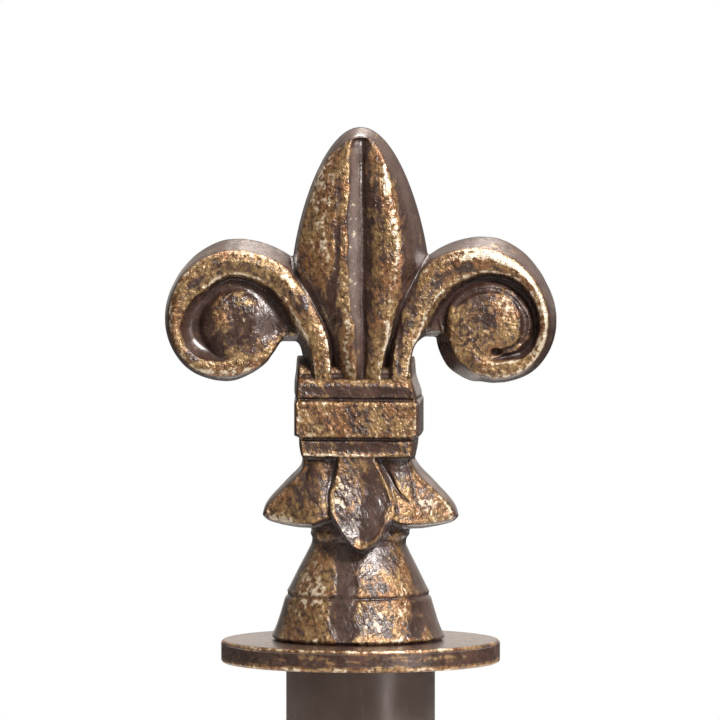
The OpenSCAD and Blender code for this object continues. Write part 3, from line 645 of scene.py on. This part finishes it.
class Graph:
    """A node tree that is filled with short calls; sockets are given by name or by number."""

    def __init__(self, tree):
        self.tree = tree

    def feed(self, node, inputs):
        """Set a node's inputs, from a socket by a link and from a constant by its value."""
        for key, value in inputs.items():
            if isinstance(value, bpy.types.NodeSocket):
                self.tree.links.new(value, node.inputs[key])
            else:
                node.inputs[key].default_value = value
        return node.outputs

    def add(self, kind, inputs=None, out=0, **settings):
        """A new shader node, of which one output is given back."""
        node = self.tree.nodes.new("ShaderNode" + kind)
        for key, value in settings.items():
            setattr(node, key, value)
        return self.feed(node, inputs or {})[out]

    def math(self, operation, *values):
        return self.add("Math", dict(enumerate(values)), operation=operation)

    def remap(self, value, low, high, to_low=0.0, to_high=1.0):
        """Smooth change from to_low to to_high while the value goes from low to high."""
        return self.add("MapRange", {0: value, 1: low, 2: high, 3: to_low, 4: to_high},
                        interpolation_type="SMOOTHSTEP")

    def mix(self, share, a, b):
        return self.add("Mix", {"Factor": share, "A": a, "B": b}, out="Result", data_type="RGBA")

    def noise(self, where, scale, detail=2.0, roughness=0.5, distortion=0.0):
        return self.add("TexNoise", {"Vector": where, "Scale": scale, "Detail": detail, "Roughness": roughness,
                                     "Distortion": distortion})

    def swing(self, noise, amount):
        """A noise of 0 to 1 as a swing about 0."""
        return self.math("MULTIPLY", self.math("SUBTRACT", noise, 0.5), amount)

    def parts(self, vector):
        """The three coordinates of a vector."""
        return [self.add("SeparateXYZ", {0: vector}, out=k) for k in (0, 1, 2)]

    def group(self, tree, inputs):
        node = self.tree.nodes.new("ShaderNodeGroup")
        node.node_tree = tree
        return self.feed(node, inputs)


def new_group(name, inputs, outputs):
    """An empty node group with named sockets, with its graph, its inputs and its output node."""
    tree = bpy.data.node_groups.new(name, "ShaderNodeTree")
    for label, kind in inputs:
        tree.interface.new_socket(label, in_out="INPUT", socket_type="NodeSocket" + kind)
    for label, kind in outputs:
        tree.interface.new_socket(label, in_out="OUTPUT", socket_type="NodeSocket" + kind)
    return Graph(tree), tree.nodes.new("NodeGroupInput").outputs, tree.nodes.new("NodeGroupOutput").inputs


def connect(graph, pairs):
    """Link each output to its input."""
    for value, socket in pairs:
        graph.tree.links.new(value, socket)


# Finish: dark brown paint with gold rubbed over what stands out

# The sides' pale sheen is painted light; the palest gold is worn metal and also painted highlights; the darkest
# colour is patina in hollows and also painted shade
PAINT, PAINT_LIGHT, PAINT_SPECK = srgb(54, 35, 27), srgb(76, 54, 46), srgb(40, 27, 23)
SIDE, SIDE_LIGHT, SIDE_PAINTED_SHEEN = srgb(62, 42, 35), srgb(80, 59, 51), srgb(190, 172, 164)
GOLD, GOLD_COPPER, GOLD_STREAK = srgb(156, 124, 82), srgb(142, 98, 62), srgb(176, 150, 112)
GOLD_THIN, GOLD_PALE_AND_HIGHLIGHT, PATINA_AND_SHADE = srgb(90, 62, 42), srgb(212, 196, 172), srgb(44, 31, 30)


def make_rubbed_finish():
    """Group: colour, share of gold and roughness, from where a place is and how much it was rubbed. Gold
    covers the paint where rubbing and grain together are high, and turns pale where they are highest, where the
    place is worn pale and where a highlight is painted. A plain side takes a lighter paint, with a painted sheen
    where a highlight is given. Hollows darken towards a dark patina, which also stands in for painted shade."""
    g, given, out = new_group(
        "rubbed_gold_over_brown",
        [("Place", "Vector"), ("Flow", "Vector"), ("Rub", "Float"), ("Bright", "Float"), ("Crevice", "Float"),
         ("Flank", "Float")],
        [("Colour", "Color"), ("Gold", "Float"), ("Roughness", "Float")])
    place = given["Place"]
    blotch = g.noise(place, 260, 3, 0.5, 0.6)
    speck = g.noise(place, 800, 2, 0.5, 0.2)
    streak = g.noise(g.add("Mapping", {"Vector": given["Flow"], "Scale": (0.28, 1, 1)}), 520, 3, 0.6, 0.3)
    grain = g.math("ADD", g.swing(blotch, 1.05), g.math("ADD", g.swing(speck, 0.7), g.swing(streak, 2.2)))
    gold = g.remap(g.math("ADD", given["Rub"], grain), 0.28, 0.80)
    paint = g.mix(g.remap(blotch, 0.35, 0.65), PAINT, PAINT_LIGHT)
    paint = g.mix(g.remap(speck, 0.5, 0.7, 0, 0.3), paint, PAINT_SPECK)
    side = g.mix(g.remap(blotch, 0.3, 0.7), SIDE, SIDE_LIGHT)
    # Painted sheen: a plain side turns pale where the highlight input is high
    side = g.mix(g.math("MULTIPLY", given["Bright"], 0.8), side, SIDE_PAINTED_SHEEN)
    paint = g.mix(given["Flank"], paint, side)
    warm = g.mix(g.remap(g.noise(place, 150, 2, 0.5), 0.40, 0.62), GOLD, GOLD_COPPER)
    warm = g.mix(g.remap(streak, 0.45, 0.75, 0, 0.55), warm, GOLD_STREAK)
    warm = g.mix(g.remap(speck, 0.25, 0.6), GOLD_THIN, warm)
    flecks = g.math("ADD", g.swing(speck, 1.5), g.swing(streak, 1.2))
    # The palest gold: worn metal where rubbed most, and painted highlights where given
    rubbed_most_and_highlit = g.math("MAXIMUM", g.math("SUBTRACT", given["Rub"], 0.45), given["Bright"])
    pale = g.remap(g.math("ADD", rubbed_most_and_highlit, flecks), 0.57, 0.85)
    colour = g.mix(pale, g.mix(gold, paint, warm), GOLD_PALE_AND_HIGHLIGHT)
    # Hollows darken towards dark patina, which also paints the shade in them
    colour = g.mix(g.math("MULTIPLY", given["Crevice"], 0.5), colour, PATINA_AND_SHADE)
    rough = g.remap(speck, 0.3, 0.7, 0.26, 0.40)
    connect(g, [(colour, out["Colour"]), (gold, out["Gold"]), (rough, out["Roughness"])])
    return g.tree


def make_cast_relief():
    """Group: height of the cast and brushed surface, with fine pits, brush lines and low dents."""
    g, given, out = new_group("cast_relief", [("Place", "Vector"), ("Flow", "Vector"), ("Pits", "Float")],
                              [("Height", "Float")])
    pits = g.noise(given["Place"], 1100, 3, 0.65, 0.4)
    dents = g.noise(given["Place"], 420, 2, 0.5, 0.9)
    brush = g.noise(g.add("Mapping", {"Vector": given["Flow"], "Scale": (0.22, 1, 1)}), 800, 2, 0.5)
    fine = g.math("ADD", g.math("MULTIPLY", pits, 1.6), g.math("MULTIPLY", brush, 1.2))
    height = g.math("ADD", fine, g.math("MULTIPLY", dents, 2.2))
    connect(g, [(g.math("MULTIPLY", height, given["Pits"]), out["Height"])])
    return g.tree


RUBBED_FINISH = make_rubbed_finish()
CAST_RELIEF = make_cast_relief()


def new_material(name):
    """A material, its graph and its shader node."""
    material = bpy.data.materials.new(name)
    material.use_nodes = True
    g = Graph(material.node_tree)
    return material, g, material.node_tree.nodes["Principled BSDF"]


def rubbed_material(name, flow, rub, worn_pale_and_highlight, crevice, flank, relief):
    """Rubbed finish on one surface. flow to flank are calls that make the finish's inputs in its graph, and
    relief is the depth in metres of its bump."""
    material, g, shader = new_material(name)
    place = g.add("TexCoord", out="Object")
    flank_mask = flank(g, place)
    brushed = flow(g, place)
    rubbed = rub(g, place)
    finish = g.group(RUBBED_FINISH, {"Place": place, "Flow": brushed, "Rub": rubbed, "Bright": worn_pale_and_highlight(g, place),
                                     "Crevice": crevice(g, place), "Flank": flank_mask})
    pits = g.math("MULTIPLY", g.remap(flank_mask, 0, 1, 1, 0.08), g.remap(rubbed, 0.0, 0.6, 0.4, 1.0))
    height = g.group(CAST_RELIEF, {"Place": place, "Flow": brushed, "Pits": pits})["Height"]
    bump_node = g.add("Bump", {"Height": height, "Strength": 1.0, "Distance": relief}, out="Normal")
    connect(g, [(finish["Colour"], shader.inputs["Base Color"]), (finish["Roughness"], shader.inputs["Roughness"]),
                (g.remap(flank_mask, 0, 1, 0, 0.5), shader.inputs["Coat Weight"]),
                (g.remap(finish["Gold"], 0, 1, 0.1, 0.5), shader.inputs["Metallic"]),
                (bump_node, shader.inputs["Normal"])])
    shader.inputs["Coat Roughness"].default_value = 0.24
    shader.inputs["Specular IOR Level"].default_value = 0.8
    return material


def attribute(name, out="Fac"):
    """A call that reads one of the piece's own attributes."""
    return lambda g, place: g.add("Attribute", out=out, attribute_name=name)


cast_bronze = rubbed_material("rubbed_cast_bronze", attribute("flow", "Vector"), attribute("rub"),
                              attribute("worn_pale_and_highlight"), attribute("crevice"), attribute("flank"), 0.00022)


# Plate, sleeve and screws keep their own shapes, with masks read from where a place is

PLATE_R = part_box("round_plate")[1][0]
PLATE_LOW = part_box("round_plate")[0][2]
# Radii between which the painted shadow round the foot fades in
FOOT_SHADOW_RADII = (0.0242, 0.0226)


def plate_parts(g, place):
    """Distance from the axis and height of a place on the plate."""
    x, y, z = g.parts(place)
    return g.math("SQRT", g.math("ADD", g.math("MULTIPLY", x, x), g.math("MULTIPLY", y, y))), z


def plate_flow(g, place):
    """Round the rim: the angle times the radius, and the height."""
    x, y, z = g.parts(place)
    turn = g.math("MULTIPLY", g.math("ARCTAN2", y, x), PLATE_R)
    return g.add("CombineXYZ", {0: turn, 1: z, 2: 0.0})


def plate_rub(g, place):
    """Strong on both edges of the rim, patchy between them, less at its ends to the left and right, and next
    to nothing on the flat faces."""
    radius, z = plate_parts(g, place)
    on_rim = g.remap(radius, PLATE_R - 0.0011, PLATE_R - 0.0003)
    upper = g.remap(g.math("ABSOLUTE", g.math("SUBTRACT", z, PLATE_TOP - 0.0002)), 0.0011, 0.0002)
    lower = g.remap(g.math("ABSOLUTE", g.math("SUBTRACT", z, PLATE_LOW + 0.0005)), 0.0013, 0.0003)
    ends = g.remap(g.math("ABSOLUTE", g.parts(place)[0]), 0.024, 0.031, 0, -0.35)
    rim = g.math("ADD", g.math("MAXIMUM", g.math("MULTIPLY", upper, 0.85), g.math("MULTIPLY", lower, 0.75)), 0.38)
    return g.math("ADD", g.math("MULTIPLY", on_rim, g.math("ADD", rim, ends)), -0.1)


def plate_foot_shadow(g, place):
    """Painted shadow where the foot stands on the plate."""
    radius, z = plate_parts(g, place)
    return g.math("MULTIPLY", g.remap(radius, *FOOT_SHADOW_RADII), g.remap(z, PLATE_TOP - 0.0004, PLATE_TOP - 0.0001))


def plate_pale_and_highlight(g, place):
    """The plate has no places worn pale and no painted highlights."""
    return 0.0


def plate_flat(g, place):
    """The plain flat faces, inside the rim."""
    radius, _ = plate_parts(g, place)
    return g.remap(radius, PLATE_R - 0.0004, PLATE_R - 0.0012)


def satin_material(name, colour, light, rough, metallic):
    """Even satin finish with slight wear: a colour, a lighter one for scuffs, roughness and metal."""
    material, g, shader = new_material(name)
    place = g.add("TexCoord", out="Object")
    scuffs = g.noise(g.add("Mapping", {"Vector": place, "Scale": (1, 1, 0.35)}), 700, 3, 0.6, 0.5)
    clouds = g.noise(place, 90, 2, 0.5)
    tone = g.mix(g.remap(clouds, 0.3, 0.7, 0, 0.45), srgb(*colour), srgb(*light))
    tone = g.mix(g.remap(scuffs, 0.6, 0.75, 0, 0.5), tone, srgb(*light))
    height = g.group(CAST_RELIEF, {"Place": place, "Flow": place, "Pits": 0.2})["Height"]
    bump_node = g.add("Bump", {"Height": height, "Strength": 1.0, "Distance": 0.00004}, out="Normal")
    connect(g, [(tone, shader.inputs["Base Color"]), (bump_node, shader.inputs["Normal"]),
                (g.remap(scuffs, 0.3, 0.7, rough - 0.05, rough + 0.06), shader.inputs["Roughness"])])
    shader.inputs["Metallic"].default_value = metallic
    shader.inputs["Coat Weight"].default_value = 0.25
    shader.inputs["Coat Roughness"].default_value = 0.3
    return material


KEPT = {
    "round_plate": rubbed_material("rubbed_plate_bronze", plate_flow, plate_rub, plate_pale_and_highlight, plate_foot_shadow,
                                   plate_flat, 0.00008),
    "post_sleeve": satin_material("dark_bronze_paint", (80, 64, 58), (104, 88, 82), 0.34, 0.25),
    "plate_screw": satin_material("zinc_plated_steel", (150, 150, 148), (190, 190, 188), 0.34, 0.9),
    "set_screw": satin_material("black_oxide_steel", (38, 36, 36), (66, 64, 64), 0.42, 0.7),
}
for node, material in KEPT.items():
    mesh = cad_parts[node].data
    for index in range(len(mesh.materials)):
        mesh.materials[index] = material


# Place in the frame

flower = casting_mesh("petal_and_scrolls", flower_height, brushed_along, (RUBBED, PALE_AND_HIGHLIGHT), (50.7, 64.0, 132.0),
                      0.3, [(3.0, 0.05, 1), (1.2, 0.03, 2)], FLOWER_LEAN)
base = casting_mesh("collar_leaves_and_foot", base_height, brushed_aslant, (LOW_RUBBED, LOW_PALE_AND_HIGHLIGHT),
                    (26.1, 0.0, 73.6), 0.24, [(3.0, 0.05, 3), (1.2, 0.03, 4)], BASE_LEAN)
for piece in (flower, base):
    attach(piece, "root")
    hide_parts("fleur_casting")
    piece.data.materials.append(cast_bronze)


# Studio

def area_light(name, place, aim, size, watts, tint=(1, 1, 1)):
    """A square soft light at a place, turned to its aim."""
    data = bpy.data.lights.new(name, "AREA")
    data.shape, data.size, data.energy, data.color = "SQUARE", size, watts, tint
    lamp = bpy.data.objects.new(name, data)
    lamp.location = place
    lamp.rotation_mode = "QUATERNION"
    lamp.rotation_quaternion = (Vector(place) - Vector(aim)).to_track_quat("Z", "Y")
    bpy.context.scene.collection.objects.link(lamp)


# What the camera looks at, how far it is turned to the right and raised, its distance and the width it sees
AIM = Vector((-0.00015, 0, 0.1175))
CAM_TURN, CAM_UP, CAM_AWAY, SEEN = math.radians(5), math.radians(4.0), 6.0, 0.18425
FLOOR_R, FLOOR_SIDES = 0.17, 96

turns = np.linspace(0, 2 * math.pi, FLOOR_SIDES, endpoint=False)
rim = np.stack([FLOOR_R * np.cos(turns), FLOOR_R * np.sin(turns), np.zeros(FLOOR_SIDES)], axis=1)
floor_mesh = bpy.data.meshes.new("studio_floor")
floor_mesh.from_pydata(rim.tolist(), [], [list(range(FLOOR_SIDES))])
floor = bpy.data.objects.new("studio_floor", floor_mesh)
bpy.context.scene.collection.objects.link(floor)
floor_paint, _, shader = new_material("pale_floor")
shader.inputs["Base Color"].default_value = (0.7, 0.7, 0.7, 1)
shader.inputs["Roughness"].default_value = 0.9
shader.inputs["Specular IOR Level"].default_value = 0.0
floor_mesh.materials.append(floor_paint)

# The camera sees the room white. It lights the object like a pale sheet behind it and a glow that is strong
# above, weak below and a little weaker on the left
world = bpy.data.worlds.new("studio")
bpy.context.scene.world = world
world.use_nodes = True
g = Graph(world.node_tree)
direction = g.add("TexCoord", out="Generated")
to_right, behind, upward = g.parts(direction)
glow = g.math("MULTIPLY", g.remap(upward, -0.2, 0.5, 0.12, 0.9), g.remap(to_right, -0.9, 0.7, 0.50, 0.58))
paper = g.math("MULTIPLY", g.remap(behind, 0.90, 0.98, 0, 0.9), g.remap(upward, -0.1, 0.02))
seen = g.add("LightPath", out="Is Camera Ray")
background = world.node_tree.nodes["Background"].inputs
connect(g, [(g.math("MAXIMUM", g.math("MAXIMUM", glow, paper), seen), background["Strength"]),
            (g.mix(seen, (1, 0.92, 0.84, 1), (1, 1, 1, 1)), background["Color"])])

area_light("key", (0.80, -1.05, 1.20), AIM, 0.30, 49, (1, 0.98, 0.95))
area_light("strip", (1.0, -0.95, 0.06), (0, 0, 0.05), 0.3, 2.5)
area_light("over", (0.1, 0.55, 1.2), AIM, 0.6, 19, (1, 0.93, 0.86))

camera_data = bpy.data.cameras.new("camera")
camera_data.lens = camera_data.sensor_width * CAM_AWAY / SEEN
camera_data.clip_start, camera_data.clip_end = 0.01, 100
camera = bpy.data.objects.new("camera", camera_data)
back = Vector((math.sin(CAM_TURN) * math.cos(CAM_UP), -math.cos(CAM_TURN) * math.cos(CAM_UP), math.sin(CAM_UP)))
camera.location = AIM + back * CAM_AWAY
camera.rotation_mode = "QUATERNION"
camera.rotation_quaternion = (-back).to_track_quat("-Z", "Y")
bpy.context.scene.collection.objects.link(camera)
bpy.context.scene.camera = camera

view_settings = bpy.context.scene.view_settings
view_settings.view_transform = "Standard"
view_settings.look = "None"
